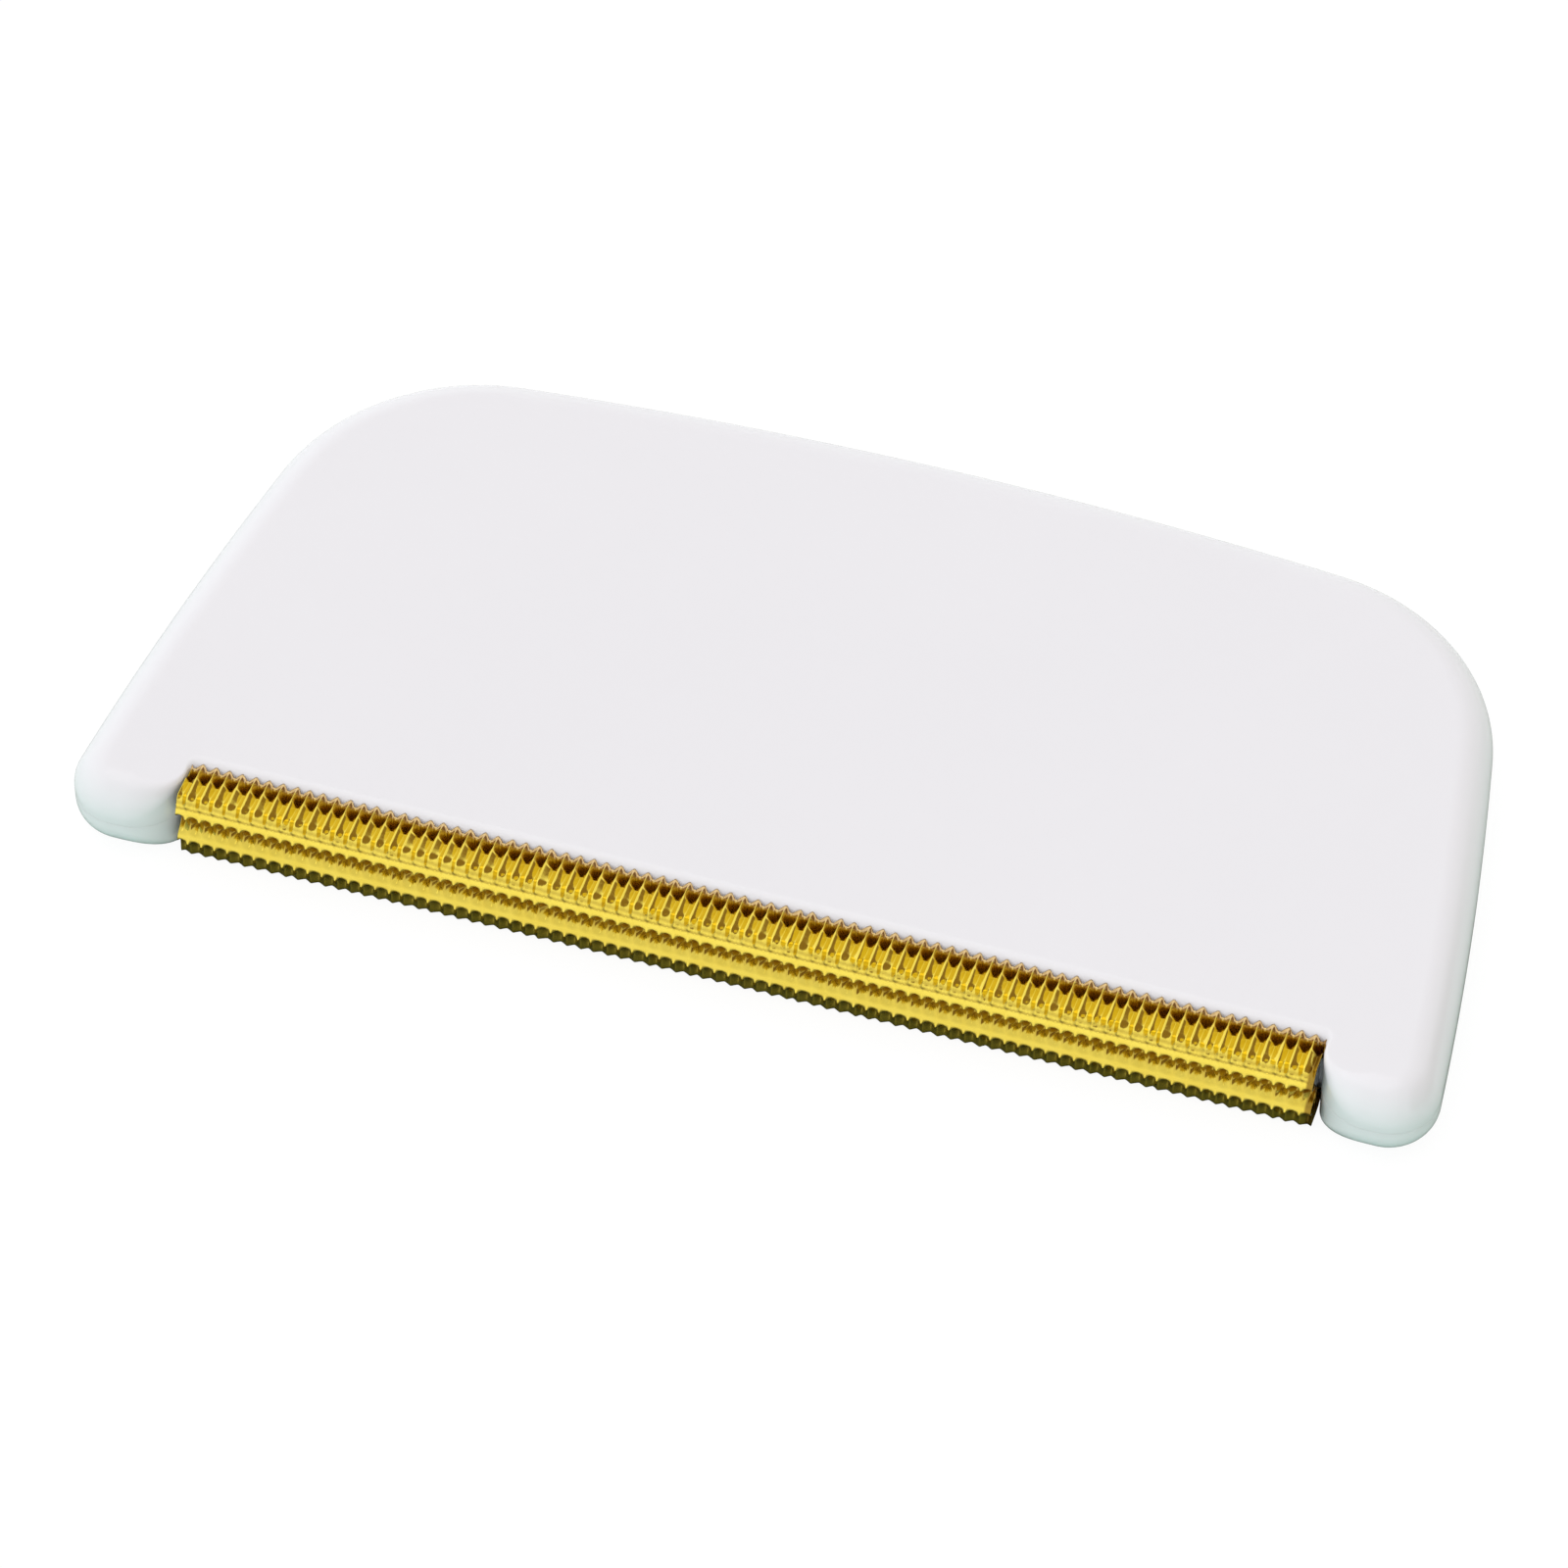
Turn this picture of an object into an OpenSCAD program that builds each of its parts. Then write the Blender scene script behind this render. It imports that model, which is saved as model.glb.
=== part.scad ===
// Sweater comb: a flat two-shell handle with two feet, and between the feet a pleated brass comb
// strip wrapped round a bar. It lies on its back face: +X runs along the strip, +Y from the feet
// to the rounded back edge, +Z up. The origin is under the middle of the handle.

/* [Handle] */
// Overall width, across the two feet
handle_w = 87; // [78:0.5:96]
// Overall depth, from the tips of the feet to the back edge
handle_d = 43; // [38:0.5:50]
// Thickness of the two shells together
handle_t = 5.5; // [5:0.1:6.5]
// Radius of the slightly bowed back edge
back_r = 272; // [160:1:500]
// Radius of the slightly bowed sides
side_r = 274; // [160:1:500]
// Lean of the sides where they meet the feet, in degrees
side_lean = 4.9; // [3:0.1:8]
// Radius of the two back corners, seen from above
corner_r = 14.3; // [10:0.1:18]
// Rounding of the outer edge, seen from the side
edge_r = 2.3; // [1.6:0.1:2.4]
// Rounding of the outer side of each foot tip, seen from above
foot_outer_r = 3.2; // [2.6:0.1:3.4]
// Rounding of the inner side of each foot tip, seen from above
foot_inner_r = 3.4; // [2.6:0.1:3.4]

/* [Notch] */
// Width of the notch between the feet
notch_w = 72.4; // [62:0.1:72.6]
// Depth of the notch, from the tips of the feet to its back wall
notch_d = 3.9; // [3.9:0.1:5]
// Radius of the two inner corners of the notch
notch_r = 0.4; // [0.2:0.1:0.5]
// Rounding of the lip along the two side walls of the notch
lip_r = 0.2; // [0.15:0.05:0.8]
// Rounding of the lip along the back wall of the notch
back_lip_r = 0.9; // [0.4:0.05:1]

/* [Shells] */
// Thickness of the flat face of each shell
face_t = 1.5; // [1.3:0.05:1.7]
// Thickness of the rim round the inside
rim_t = 2; // [1.6:0.1:3]
// Thickness of each stiffening rib
rib_t = 1; // [0.8:0.1:1.6]
// Gap between the ribs of one shell and those of the other, halved
rib_gap = 0.1; // [0.05:0.05:0.3]
// Distance between neighbouring stiffening ribs
rib_pitch = 13; // [8:0.5:16]
// Diameter of the locating pegs on the back shell
peg_d = 1.8; // [1.2:0.1:2.4]
// Gap all round each peg in its socket
peg_gap = 0.05; // [0.03:0.01:0.15]
// Wall of the boss round each peg and each socket
boss_wall = 0.9; // [0.6:0.1:1.4]
// Distance from the middle to the outer pegs of the row that holds the bar
front_peg_x = 28; // [18:0.5:30]
// Distance from the middle to the two pegs near the back corners
rear_peg_x = 26; // [20:0.5:30]
// Distance from the back edge to the two rear pegs
rear_peg_inset = 9; // [7:0.5:14]

/* [Bar] */
// Gap between the bar's flange and each shell
bar_gap = 0.05; // [0.03:0.01:0.15]
// How far the flange of the bar reaches behind the notch wall
flange_reach = 6; // [5:0.1:8]
// How much each end of the flange stays short of the notch's side walls
flange_inset = 2; // [1.5:0.1:4]
// Gap between the nose of the bar and the strip round it
nose_gap = 0.1; // [0.05:0.01:0.3]

/* [Comb strip] */
// Distance from one pleat to the next
pleat_pitch = 0.875; // [0.8:0.005:1.6]
// Depth of the pleats on the top and the bottom of the strip
pleat_depth = 0.6; // [0.4:0.05:0.9]
// Depth of the pleats where the top and the bottom slope down to the front
slope_depth = 0.3; // [0.2:0.05:0.5]
// Depth of the pleats in the drawn-in middle of the front
middle_depth = 0.75; // [0.5:0.05:0.9]
// Depth of the pleats along the two creases that run across the front
crimp_depth = 0.15; // [0.1:0.01:0.3]
// How far the front is drawn in between its two toothed edges
recess = 0.75; // [0.4:0.05:0.8]
// Thickness of the sheet, measured through the wall of a fold
sheet_t = 0.28; // [0.2:0.02:0.34]
// How much the crests stay below the faces of the handle
crest_sink = 0.07; // [0.02:0.01:0.3]
// How far the feet stand out in front of the strip
foot_lead = 0.7; // [0.6:0.05:1.2]
// Gap between the strip's back teeth and the notch wall
tooth_gap = 0.1; // [0.05:0.05:0.3]
// How far the back teeth reach behind the grooves between them
tooth_l = 0.6; // [0.4:0.05:0.8]
// How much the tips of the back teeth stay below the crests
tooth_drop = 0.35; // [0.3:0.05:0.6]
// Distance from the tips of the back teeth to where the crests reach their full height
tooth_rise = 0.9; // [0.8:0.05:1.2]
// Width, from back to front, of the slope between the flat crests and the front
slope_l = 0.65; // [0.5:0.05:0.8]
// Drop of the crests halfway down that slope
slope_drop = 0.4; // [0.3:0.05:0.5]
// Gap between each end of the strip and the side wall of the notch
end_gap = 0.3; // [0.15:0.05:0.6]
// Height of each crease above or below the middle
crease_h = 1.7; // [1.6:0.05:1.9]
// Height of each toothed front edge above or below the middle
edge_h = 1.15; // [0.9:0.05:1.4]

/* [Hidden] */
$fn = 48;
plastic = [0.94, 0.94, 0.96];
gold = [0.83, 0.64, 0.17];
mid_z = handle_t / 2;
tip_y = -handle_d / 2;
wall_y = tip_y + notch_d;
over = 0.5;

// Segments of each arc of the outline, and of the rounded edge
back_steps = 8;
corner_steps = 12;
side_steps = 6;
foot_steps = 6;
notch_steps = 3;
edge_steps = 5;

// Centres of the arcs that make the right half of the outline
back_c = [0, handle_d / 2 - back_r];
foot_outer_c = [handle_w / 2 - foot_outer_r, tip_y + foot_outer_r];
foot_inner_c = [notch_w / 2 + foot_inner_r, tip_y + foot_inner_r];
notch_c = [notch_w / 2 - notch_r, wall_y - notch_r];
side_c = foot_outer_c - (side_r - foot_outer_r) * [cos(side_lean), sin(side_lean)];
corner_c = meeting(back_c, back_r - corner_r, side_c, side_r - corner_r);
back_end = bearing(back_c, corner_c);
side_end = bearing(side_c, corner_c);

// Where two circles meet, on the side of the back edge
function meeting(c1, r1, c2, r2) =
    let(gap = norm(c2 - c1))
    let(along = (r1 * r1 - r2 * r2 + gap * gap) / (2 * gap))
    let(across = sqrt(r1 * r1 - along * along))
    let(dir = (c2 - c1) / gap)
    c1 + along * dir + across * [dir[1], -dir[0]];

function bearing(from, to) = atan2(to[1] - from[1], to[0] - from[0]);

// One arc of the outline as [x, y, outward normal x, outward normal y, edge radius]
function arc(c, r, a1, a2, steps, round1, round2) = [
    for (i = [0 : steps])
        let(a = a1 + (a2 - a1) * i / steps)
        let(blend = (1 - cos(180 * i / steps)) / 2)
        [c[0] + r * cos(a), c[1] + r * sin(a), cos(a), sin(a), round1 + (round2 - round1) * blend]
];

// A concave arc, whose material lies outside the circle
function hollow_arc(c, r, a1, a2, steps, round1, round2) = [
    for (p = arc(c, r, a1, a2, steps, round1, round2)) [p[0], p[1], -p[2], -p[3], p[4]]
];

right_half = concat(
    arc(back_c, back_r, 90, back_end, back_steps, edge_r, edge_r),
    arc(corner_c, corner_r, back_end, side_end, corner_steps, edge_r, edge_r),
    arc(side_c, side_r, side_end, side_lean, side_steps, edge_r, edge_r),
    arc(foot_outer_c, foot_outer_r, side_lean, 0, 1, edge_r, edge_r),
    arc(foot_outer_c, foot_outer_r, 0, -90, foot_steps, edge_r, edge_r),
    arc(foot_inner_c, foot_inner_r, -90, -180, foot_steps, edge_r, lip_r),
    hollow_arc(notch_c, notch_r, 0, 90, notch_steps, lip_r, back_lip_r)
);

function unique(pts) = [
    for (i = [0 : len(pts) - 1])
        let(j = (i + 1) % len(pts))
        if (norm([pts[i][0] - pts[j][0], pts[i][1] - pts[j][1]]) > 0.001) pts[i]
];

function reversed(list) = [for (i = [len(list) - 1 : -1 : 0]) list[i]];

function mirrored(pts) = [for (p = reversed(pts)) [-p[0], p[1], -p[2], p[3], p[4]]];

outline = unique(concat(right_half, mirrored(right_half)));
count = len(outline);

// One row of the rounded edge: angle 0 is the upright wall and 90 the flat face
function edge_row(a) = [
    for (p = outline)
        let(draw_in = p[4] * (1 - cos(a)))
        [p[0] - p[2] * draw_in, p[1] - p[3] * draw_in, handle_t - p[4] + p[4] * sin(a)]
];

base_row = [for (p = outline) [p[0], p[1], mid_z - over]];
edge_rows = [for (k = [0 : edge_steps]) edge_row(90 * k / edge_steps)];
plate_points = concat(base_row, [for (row = edge_rows) each row]);
plate_bands = edge_steps + 1;

plate_faces = concat(
    [reversed([for (i = [0 : count - 1]) i])],
    [for (b = [0 : plate_bands - 1]) for (i = [0 : count - 1]) each band_quad(b, i)],
    [[for (i = [0 : count - 1]) plate_bands * count + i]]
);

function band_quad(b, i) =
    let(low = b * count, high = low + count, next = (i + 1) % count)
    [[low + i, high + next, high + i], [low + i, low + next, high + next]];

// The upper half of the handle as a solid plate, cut off flat at the parting plane
module half_plate() {
    difference() {
        polyhedron(points = plate_points, faces = plate_faces, convexity = 6);
        translate([-handle_w, -handle_d, mid_z - 2 * over])
            cube([2 * handle_w, 2 * handle_d, 2 * over]);
    }
}

// The hollow inside, as deep as the face lets it, open to the notch where the bar passes
cavity_front = wall_y + rim_t;
cavity_side_r = side_r - rim_t;
cavity_side_start = asin((cavity_front - side_c[1]) / cavity_side_r);
cavity_right = concat(
    arc(back_c, back_r - rim_t, 90, back_end, back_steps, 0, 0),
    arc(corner_c, corner_r - rim_t, back_end, side_end, corner_steps, 0, 0),
    arc(side_c, cavity_side_r, side_end, cavity_side_start, side_steps, 0, 0)
);
cavity_outline = [for (p = unique(concat(cavity_right, mirrored(cavity_right)))) [p[0], p[1]]];
flange_w = notch_w - 2 * flange_inset;
slot_w = flange_w + 2 * bar_gap;
cavity_h = handle_t - 2 * face_t;

module cavity() {
    translate([0, 0, face_t])
        linear_extrude(height = cavity_h)
            polygon(cavity_outline);
    translate([-slot_w / 2, wall_y - over, face_t])
        cube([slot_w, rim_t + 2 * over, cavity_h]);
}

// Pegs that hold the bar, and pegs near the back corners
peg_r = peg_d / 2;
socket_r = peg_r + peg_gap;
boss_r = socket_r + boss_wall;
socket_top = handle_t - face_t / 2;
peg_top = socket_top - peg_gap;
front_peg_y = wall_y + flange_reach / 2;
rear_peg_y = handle_d / 2 - rear_peg_inset;
front_pegs = [for (side = [-1 : 1]) [side * front_peg_x, front_peg_y]];
rear_pegs = [for (side = [-1, 1]) [side * rear_peg_x, rear_peg_y]];
all_pegs = concat(front_pegs, rear_pegs);

// Ribs from behind the bar's flange to the back rim, in the half under or over the middle
rib_front = wall_y + flange_reach + over;
rib_count = 3;
function rim_y(x) = back_c[1] + sqrt(pow(back_r - rim_t / 2, 2) - x * x);
rib_x = [for (i = [0 : rib_count - 1]) (i - (rib_count - 1) / 2) * rib_pitch];

module ribs(z) {
    for (x = rib_x)
        translate([x - rib_t / 2, rib_front, z])
            cube([rib_t, rim_y(x) - rib_front, cavity_h / 2 - rib_gap + over]);
}

module rear_bosses(z) {
    for (p = rear_pegs)
        translate([p[0], p[1], z])
            cylinder(r = boss_r, h = cavity_h / 2 + over);
}

module sockets() {
    for (p = all_pegs)
        translate([p[0], p[1], mid_z - over])
            cylinder(r = socket_r, h = socket_top - mid_z + over);
}

module handle_front() {
    color(plastic)
        difference() {
            union() {
                difference() {
                    half_plate();
                    cavity();
                }
                ribs(mid_z + rib_gap);
                rear_bosses(mid_z);
            }
            sockets();
        }
}

module handle_back() {
    color(plastic)
        union() {
            difference() {
                translate([0, 0, handle_t])
                    mirror([0, 0, 1])
                        half_plate();
                cavity();
            }
            ribs(face_t - over);
            rear_bosses(face_t - over);
            for (p = all_pegs)
                translate([p[0], p[1], face_t - over])
                    cylinder(r = peg_r, h = peg_top - face_t + over);
        }
}

// The strip's pleats: as many whole ones as fit between the side walls of the notch
pleat_count = floor((notch_w - 2 * end_gap) / pleat_pitch);
strip_l = pleat_count * pleat_pitch;
crest_h = mid_z - crest_sink;
reach = notch_d - foot_lead;
bar_t = cavity_h - 2 * bar_gap;
end_h = bar_t / 2 + nose_gap;

// Half profiles of the crests and the grooves, from the cut end on the bar over the top to the
// middle of the front, as [distance in front of the notch wall, height from the middle]
tooth_h = crest_h - tooth_drop;
tuck = slope_l / 2;
ridge_back = tooth_gap + tooth_rise;
ridge_front = reach - slope_l;
groove_front = reach - recess - middle_depth;
crest_upper = [
    [tooth_gap + tuck, end_h],
    [tooth_gap, tooth_h],
    [ridge_back, crest_h],
    [ridge_front, crest_h],
    [reach - tuck, crest_h - slope_drop],
    [reach, crease_h],
    [reach, edge_h],
    [reach - recess, 0]
];
groove_upper = [
    [tooth_gap + tooth_l + tuck, end_h],
    [tooth_gap + tooth_l, tooth_h],
    [ridge_back + tuck, crest_h - pleat_depth],
    [ridge_front - slope_depth / 2, crest_h - pleat_depth],
    [reach - tuck - slope_depth / 2, crest_h - slope_drop - slope_depth],
    [reach - crimp_depth, crease_h - crimp_depth],
    [reach - middle_depth / 2, edge_h],
    [groove_front, 0]
];

// The whole profile: the upper half, then the same upside down
function whole(upper) = concat(
    upper,
    [for (i = [len(upper) - 2 : -1 : 0]) [upper[i][0], -upper[i][1]]]
);

// A profile moved towards the bar by the thickness of the sheet
function unit(v) = v / norm(v);
function inner(profile) = [
    for (i = [0 : len(profile) - 1])
        let(before = profile[max(i - 1, 0)])
        let(after = profile[min(i + 1, len(profile) - 1)])
        let(dir = unit(after - before))
        profile[i] + sheet_t * [dir[1], -dir[0]]
];

crest_out = whole(crest_upper);
groove_out = whole(groove_upper);
crest_loop = concat(crest_out, reversed(inner(crest_out)));
groove_loop = concat(groove_out, reversed(inner(groove_out)));
loop_n = len(crest_loop);
columns = 2 * pleat_count;

function strip_point(column, p) =
    [(column - pleat_count) * pleat_pitch / 2, wall_y - p[0], mid_z + p[1]];

strip_points = [
    for (column = [0 : columns])
        for (p = (column % 2 == 1 ? crest_loop : groove_loop))
            strip_point(column, p)
];

strip_side = [
    for (column = [0 : columns - 1])
        for (i = [0 : loop_n - 1])
            let(near = column * loop_n, far = near + loop_n, next = (i + 1) % loop_n)
            each [[near + i, far + next, near + next], [near + i, far + i, far + next]]
];

function strip_end(first, flip) = [
    for (i = [0 : loop_n / 2 - 2])
        let(a = first + i, b = first + i + 1)
        let(c = first + loop_n - 2 - i, d = first + loop_n - 1 - i)
        each (flip ? [[a, b, c], [a, c, d]] : [[a, c, b], [a, d, c]])
];

module comb_strip() {
    color(gold)
        polyhedron(
            points = strip_points,
            faces = concat(
                strip_side,
                strip_end(0, true),
                strip_end(columns * loop_n, false)
            ),
            convexity = 10
        );
}

// The bar: a round-nosed blade in the strip, and a flange between the shells
nose_r = bar_t / 2;
nose_reach = groove_front - sheet_t - nose_gap;
bar_back = wall_y + flange_reach;

module comb_core() {
    color(plastic)
        difference() {
            union() {
                translate([-strip_l / 2, wall_y - nose_reach + nose_r, mid_z])
                    rotate([0, 90, 0])
                        cylinder(r = nose_r, h = strip_l);
                translate([-strip_l / 2, wall_y - nose_reach + nose_r, mid_z - nose_r])
                    cube([strip_l, nose_reach - nose_r, bar_t]);
                translate([-flange_w / 2, wall_y - over, mid_z - nose_r])
                    cube([flange_w, flange_reach + over, bar_t]);
            }
            for (p = front_pegs)
                translate([p[0], p[1], mid_z - bar_t])
                    cylinder(r = socket_r, h = 2 * bar_t);
        }
}

handle_front();
handle_back();
comb_core();
comb_strip();
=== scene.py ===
"""Sweater comb: the looks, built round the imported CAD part.

Every size is in millimetres in the row frame: +X along the comb strip, +Y from the feet to the
back edge, +Z out of the front face, and z = 0 on the back face.
"""

import math

import bpy
import numpy as np
from mathutils import Matrix, Vector


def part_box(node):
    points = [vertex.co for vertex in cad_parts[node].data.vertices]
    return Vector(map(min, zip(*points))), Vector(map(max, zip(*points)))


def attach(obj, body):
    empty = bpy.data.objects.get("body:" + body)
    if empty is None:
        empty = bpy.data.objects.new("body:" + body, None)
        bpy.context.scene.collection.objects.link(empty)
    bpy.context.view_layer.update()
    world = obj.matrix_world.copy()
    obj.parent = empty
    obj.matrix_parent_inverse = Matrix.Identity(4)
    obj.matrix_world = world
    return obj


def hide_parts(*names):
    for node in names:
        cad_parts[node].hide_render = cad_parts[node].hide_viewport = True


bl_info = {
    "name": "Sweater comb",
    "version": (1, 0, 0),
    "blender": (4, 5, 0),
    "location": "3D View > Sidebar > Sweater comb",
    "description": "Builds the looks of a pleated brass sweater comb round its packed model",
    "category": "Object",
}

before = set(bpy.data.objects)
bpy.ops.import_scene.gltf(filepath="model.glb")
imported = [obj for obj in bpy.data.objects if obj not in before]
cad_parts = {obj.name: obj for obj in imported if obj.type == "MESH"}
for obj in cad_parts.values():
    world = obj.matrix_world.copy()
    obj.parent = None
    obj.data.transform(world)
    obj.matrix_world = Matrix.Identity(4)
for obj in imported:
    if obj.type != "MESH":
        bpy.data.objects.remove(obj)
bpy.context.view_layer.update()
# One millimetre in the scene's metres
MM = 0.001

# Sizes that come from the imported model, in mm
_, FRONT_HIGH = (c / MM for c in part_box("handle_front"))
BACK_LOW, _ = (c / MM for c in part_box("handle_back"))
STRIP_LOW, STRIP_HIGH = (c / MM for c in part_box("comb_strip"))
# From the foot tips to the back wall of the notch, and the rounding of the lip above that wall
NOTCH_DEPTH = 3.9
BACK_LIP_R = 0.9
# From the foot tips to the edge of the handle's flat face behind the strip
FACE_EDGE = NOTCH_DEPTH + BACK_LIP_R


def linear(text):
    """An sRGB colour such as #E1E0E4 as linear light with alpha."""
    parts = [int(text[i : i + 2], 16) / 255 for i in (1, 3, 5)]
    return (*[c / 12.92 if c <= 0.04045 else ((c + 0.055) / 1.055) ** 2.4 for c in parts], 1.0)


# Settings


class CombHandle(bpy.types.PropertyGroup):
    """Shape and colour of the white handle."""

    back_r: bpy.props.FloatProperty(
        name="Back edge radius", description="Bow of the back edge, in mm", default=272, min=150
    )
    side_r: bpy.props.FloatProperty(
        name="Side radius", description="Bow of the two sides, in mm", default=274, min=150
    )
    side_lean: bpy.props.FloatProperty(
        name="Side lean", description="Lean of the sides at the feet", subtype="ANGLE",
        default=math.radians(4.9),
    )
    corner_r: bpy.props.FloatProperty(
        name="Corner radius", description="Back corners from above, in mm", default=14.3, min=5
    )
    edge_r: bpy.props.FloatProperty(
        name="Edge rounding", description="Rounding of the outer edge, in mm", default=2.3, min=0.5, max=2.4
    )
    lip_r: bpy.props.FloatProperty(
        name="Side lip rounding", description="Rounding of the lip at the notch's sides, in mm",
        default=0.2, min=0.1,
    )
    foot_outer_r: bpy.props.FloatProperty(
        name="Foot, outer radius", description="Outer side of each foot tip, in mm", default=3.2
    )
    foot_inner_r: bpy.props.FloatProperty(
        name="Foot, inner radius", description="Inner side of each foot tip, in mm", default=3.4
    )
    notch_w: bpy.props.FloatProperty(
        name="Notch width", description="Between the feet, in mm", default=72.4
    )
    notch_d: bpy.props.FloatProperty(
        name="Notch depth", description="From the foot tips to the back wall, in mm", default=NOTCH_DEPTH
    )
    notch_r: bpy.props.FloatProperty(
        name="Notch corner radius", description="The two inner corners, in mm", default=0.4
    )
    back_lip_r: bpy.props.FloatProperty(
        name="Back lip rounding", description="Rounding of the lip behind the strip, in mm",
        default=BACK_LIP_R, min=0.1,
    )
    seam: bpy.props.FloatProperty(
        name="Joint line", description="Depth of the line where the halves meet, in mm", default=0.03
    )
    colour: bpy.props.FloatVectorProperty(
        name="Plastic", description="Colour of the moulded plastic", subtype="COLOR", size=3,
        default=linear("#E1E0E4")[:3], min=0, max=1,
    )


class CombStrip(bpy.types.PropertyGroup):
    """Shape and colour of the pleated brass strip."""

    pitch: bpy.props.FloatProperty(
        name="Pleat pitch", description="From one pleat to the next, in mm", default=0.875, min=0.3
    )
    sheet: bpy.props.FloatProperty(
        name="Sheet thickness", description="Thickness of the brass sheet, in mm", default=0.06
    )
    wander: bpy.props.FloatProperty(
        name="Wander", description="How far the folds wander from their places, in mm", default=0.045
    )
    seed: bpy.props.IntProperty(
        name="Seed", description="Another number gives other small irregularities", default=7
    )
    colour: bpy.props.FloatVectorProperty(
        name="Brass", description="Colour of the brass", subtype="COLOR", size=3,
        default=linear("#E8D45C")[:3], min=0, max=1,
    )


# Small helpers


def add_node(tree, kind, inputs=None, **settings):
    """Adds a shader node with its settings, and sets or links its inputs."""
    node = tree.nodes.new(kind)
    for key, value in settings.items():
        setattr(node, key, value)
    for key, value in (inputs or {}).items():
        if isinstance(value, bpy.types.NodeSocket):
            tree.links.new(value, node.inputs[key])
        else:
            node.inputs[key].default_value = value
    return node


def new_material(name):
    """An empty node material and its shader tree and output node."""
    mat = bpy.data.materials.new(name)
    mat.use_nodes = True
    mat.node_tree.nodes.clear()
    out = mat.node_tree.nodes.new("ShaderNodeOutputMaterial")
    return mat, mat.node_tree, out


def mesh_piece(name, points_mm, faces, material, smooth=True, normals=None):
    """A mesh object in the row frame, from points in millimetres."""
    mesh = bpy.data.meshes.new(name)
    mesh.from_pydata((np.asarray(points_mm) * MM).tolist(), [], faces)
    mesh.validate()
    if smooth:
        mesh.shade_smooth()
    if normals is not None:
        mesh.normals_split_custom_set_from_vertices(np.asarray(normals).tolist())
    obj = bpy.data.objects.new(name, mesh)
    bpy.context.scene.collection.objects.link(obj)
    mesh.materials.append(material)
    return obj


# Materials

# Name of the strip's mesh attribute that holds the painted shade in the folds and at the right end of the
# strip
PAINTED_SHADE_ATTR = "painted_shade"
# The plastic's flow waves and handling marks: how far apart and how high they are, in mm
FLOW_WAVE, FLOW_HEIGHT = 14, 0.05
MARK, MARK_HEIGHT = 0.9, 0.002
# The darker tone of the plastic, as a share of its colour
PLASTIC_DEEP = 0.982
# How far light goes into the plastic, in mm
LIGHT_DEPTH = 1.2


def gloss_plastic(colour):
    """White ABS from a polished mould: glossy, with very faint flow waves and fine handling marks."""
    mat, tree, out = new_material("gloss_white_abs")
    place = add_node(tree, "ShaderNodeTexCoord").outputs["Object"]
    waves = add_node(
        tree,
        "ShaderNodeTexNoise",
        {"Vector": place, "Scale": 1 / (FLOW_WAVE * MM), "Detail": 1.0, "Roughness": 0.4},
    ).outputs["Fac"]
    marks = add_node(
        tree,
        "ShaderNodeTexNoise",
        {"Vector": place, "Scale": 1 / (MARK * MM), "Detail": 3.0, "Roughness": 0.6},
    ).outputs["Fac"]
    shine = add_node(
        tree,
        "ShaderNodeMapRange",
        {"Value": marks, "From Min": 0.3, "From Max": 0.7, "To Min": 0.1, "To Max": 0.17},
    )
    deep = (*[c * PLASTIC_DEEP for c in colour], 1.0)
    tone = add_node(tree, "ShaderNodeMixRGB", {"Fac": waves, "Color1": deep, "Color2": (*colour, 1.0)})
    wave_bump = add_node(
        tree, "ShaderNodeBump", {"Height": waves, "Strength": 0.25, "Distance": FLOW_HEIGHT * MM}
    ).outputs["Normal"]
    mark_bump = add_node(
        tree,
        "ShaderNodeBump",
        {"Height": marks, "Strength": 0.2, "Distance": MARK_HEIGHT * MM, "Normal": wave_bump},
    )
    shader = add_node(
        tree,
        "ShaderNodeBsdfPrincipled",
        {
            "Base Color": tone.outputs["Color"],
            "Roughness": shine.outputs["Result"],
            "IOR": 1.5,
            "Specular IOR Level": 0.5,
            "Subsurface Weight": 0.2,
            "Subsurface Radius": (1.0, 1.0, 1.0),
            "Subsurface Scale": LIGHT_DEPTH * MM,
            "Normal": mark_bump.outputs["Normal"],
        },
    )
    tree.links.new(shader.outputs["BSDF"], out.inputs["Surface"])
    return mat


# The bar's colour, and its grain: how far apart and how high it is, in mm
BAR_COLOUR = "#E0E0E6"
BAR_GRAIN, BAR_GRAIN_HEIGHT = 0.4, 0.01


def plain_plastic(colour):
    """The bar under the strip, plain ABS from a milled mould: matt, with its fine grain."""
    mat, tree, out = new_material("plain_abs_bar")
    place = add_node(tree, "ShaderNodeTexCoord").outputs["Object"]
    grain = add_node(
        tree,
        "ShaderNodeTexNoise",
        {"Vector": place, "Scale": 1 / (BAR_GRAIN * MM), "Detail": 4.0, "Roughness": 0.6},
    ).outputs["Fac"]
    grain_bump = add_node(
        tree, "ShaderNodeBump", {"Height": grain, "Strength": 0.4, "Distance": BAR_GRAIN_HEIGHT * MM}
    )
    rough = add_node(tree, "ShaderNodeMapRange", {"Value": grain, "To Min": 0.45, "To Max": 0.6})
    shader = add_node(
        tree,
        "ShaderNodeBsdfPrincipled",
        {
            "Base Color": linear(colour),
            "Roughness": rough.outputs["Result"],
            "Normal": grain_bump.outputs["Normal"],
        },
    )
    tree.links.new(shader.outputs["BSDF"], out.inputs["Surface"])
    return mat


# The brass's dents and its rolling lines: how far apart and how high they are, in mm
DENT, DENT_HEIGHT = 0.8, 0.03
ROLL_LINE, ROLL_LINE_HEIGHT = 0.12, 0.003
# Shrinks the pattern's X, which draws the rolling lines out along the strip
ROLL_STRETCH = (0.08, 1.0, 1.0)
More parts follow.
